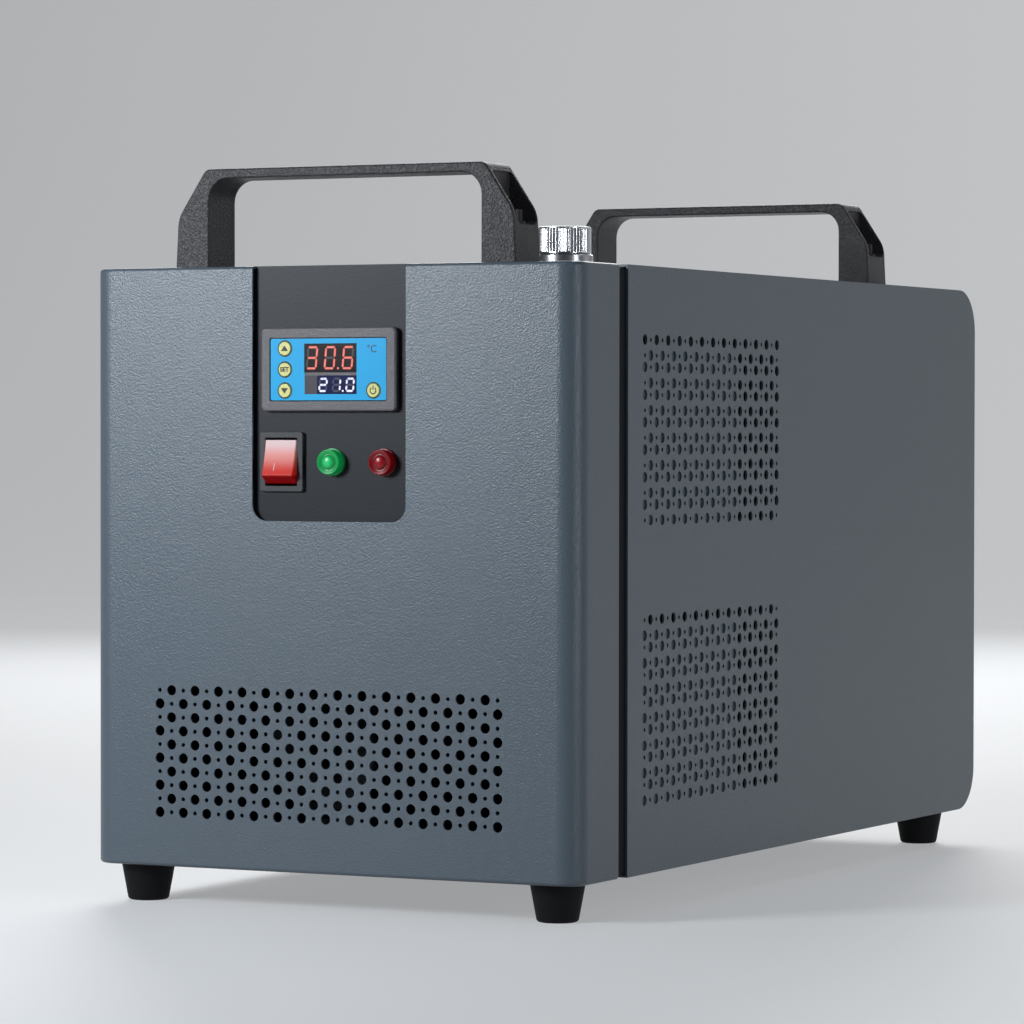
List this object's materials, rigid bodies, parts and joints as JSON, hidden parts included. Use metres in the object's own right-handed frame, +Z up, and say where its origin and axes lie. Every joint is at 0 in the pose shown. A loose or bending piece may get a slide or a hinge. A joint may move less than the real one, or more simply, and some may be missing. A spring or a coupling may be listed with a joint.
{
  "type": "recirculating chiller",
  "caption": "Compact recirculating chiller: perforated painted steel case, two top handles, filler cap, digital temperature controller, rocker switch and pilot lamps.",
  "frame": {"origin": "centre of the casing's footprint, on the floor under the feet", "axes": "+X to the right seen from the control panel, +Y from the control panel to the rear, +Z up"},
  "size_m": [0.285, 0.5796, 0.3847],
  "materials": {
    "powder_coat": "textured",
    "panel_coat": "satin",
    "neck_coat": "satin",
    "foot_rubber": "matte",
    "handle_plastic": "textured",
    "bezel_plastic": "satin",
    "film": "satin",
    "display": "gloss",
    "key_plastic": "satin",
    "switch_plastic": "gloss",
    "rocker_red": "gloss",
    "green_lens": "gloss",
    "red_lens": "gloss",
    "chrome_cap": "polished",
    "neck_metal": "satin",
    "screw_steel": "satin",
    "black_plastic": "satin",
    "tank_plastic": "satin",
    "zinc_sheet": "satin",
    "copper": "satin",
    "brass": "satin",
    "hose_rubber": "satin",
    "can_steel": "satin",
    "fin_aluminium": "satin"
  },
  "bodies": {
    "casing": {"base_tray": "powder_coat", "capillary": "copper", "casing_screws": "screw_steel", "compressor": "can_steel", "compressor_mounts": "hose_rubber", "condenser": "fin_aluminium", "control_panel": "panel_coat", "controller_bezel": "bezel_plastic", "controller_body": "black_plastic", "controller_clamps": "black_plastic", "controller_film": "film", "delivery_hose": "hose_rubber", "discharge_line": "copper", "drain_fitting": "brass", "drain_hose": "hose_rubber", "drain_plug": "brass", "evaporator_coil": "copper", "fan_frame": "black_plastic", "fan_guard": "zinc_sheet", "filler_neck": "neck_metal", "filter_drier": "copper", "front_cover": "powder_coat", "front_handle": "handle_plastic", "front_left_foot": "foot_rubber", "front_right_foot": "foot_rubber", "green_lamp": "green_lens", "handle_screws": "screw_steel", "hose_barbs": "brass", "lamp_bodies": "black_plastic", "left_side_panel": "powder_coat", "lower_backing_plate": "powder_coat", "neck_frame": "neck_coat", "power_inlet": "black_plastic", "pump_housing": "black_plastic", "pump_motor": "can_steel", "rear_handle": "handle_plastic", "rear_left_foot": "foot_rubber", "rear_panel": "powder_coat", "rear_right_foot": "foot_rubber", "red_lamp": "red_lens", "return_hose": "hose_rubber", "right_side_panel": "powder_coat", "rocker_housing": "switch_plastic", "setpoint_window": "display", "suction_hose": "hose_rubber", "suction_line": "copper", "tank": "tank_plastic", "tank_shelf": "zinc_sheet", "temperature_window": "display", "top_cover": "powder_coat", "upper_backing_plate": "powder_coat"},
    "filler_seal": {"cap_gasket": "hose_rubber"},
    "filler_lid": {"filler_cap": "chrome_cap"},
    "switch_rocker": {"rocker": "rocker_red"},
    "up_button": {"up_key": "key_plastic"},
    "set_button": {"set_key": "key_plastic"},
    "down_button": {"down_key": "key_plastic"},
    "power_button": {"power_key": "key_plastic"},
    "fan": {"fan_rotor": "black_plastic"},
    "impeller": {"pump_impeller": "black_plastic"}
  },
  "joints": [
    {"name": "seal_lift", "type": "slide", "parent": "casing", "child": "filler_seal", "axis": [0, 0, 1], "range_m": [0, 0.00905]},
    {"name": "cap_turn", "type": "hinge", "parent": "filler_seal", "child": "filler_lid", "pos_m": [0, -0.0117, 0.353], "axis": [0, 0, 1], "range_deg": [0, 1080]},
    {"name": "rocker_tilt", "type": "hinge", "parent": "casing", "child": "switch_rocker", "pos_m": [-0.0285, -0.2812, 0.232], "axis": [1, 0, 0], "range_deg": [0, 22]},
    {"name": "up_press", "type": "slide", "parent": "casing", "child": "up_button", "axis": [0, 1, 0], "range_m": [0, 0.0004], "stiffness_N_per_m": 200},
    {"name": "set_press", "type": "slide", "parent": "casing", "child": "set_button", "axis": [0, 1, 0], "range_m": [0, 0.0004], "stiffness_N_per_m": 200},
    {"name": "down_press", "type": "slide", "parent": "casing", "child": "down_button", "axis": [0, 1, 0], "range_m": [0, 0.0004], "stiffness_N_per_m": 200},
    {"name": "power_press", "type": "slide", "parent": "casing", "child": "power_button", "axis": [0, 1, 0], "range_m": [0, 0.0004], "stiffness_N_per_m": 200},
    {"name": "fan_spin", "type": "hinge", "parent": "casing", "child": "fan", "pos_m": [-0.025, 0.24235, 0.165], "axis": [0, 1, 0], "continuous": true},
    {"name": "impeller_spin", "type": "hinge", "parent": "casing", "child": "impeller", "pos_m": [-0.06, -0.1742, 0.075], "axis": [0, 1, 0], "continuous": true}
  ],
  "couplings": [
    {"joint": "seal_lift", "follows": "cap_turn", "m_per_rad": 0.00047746}
  ]
}
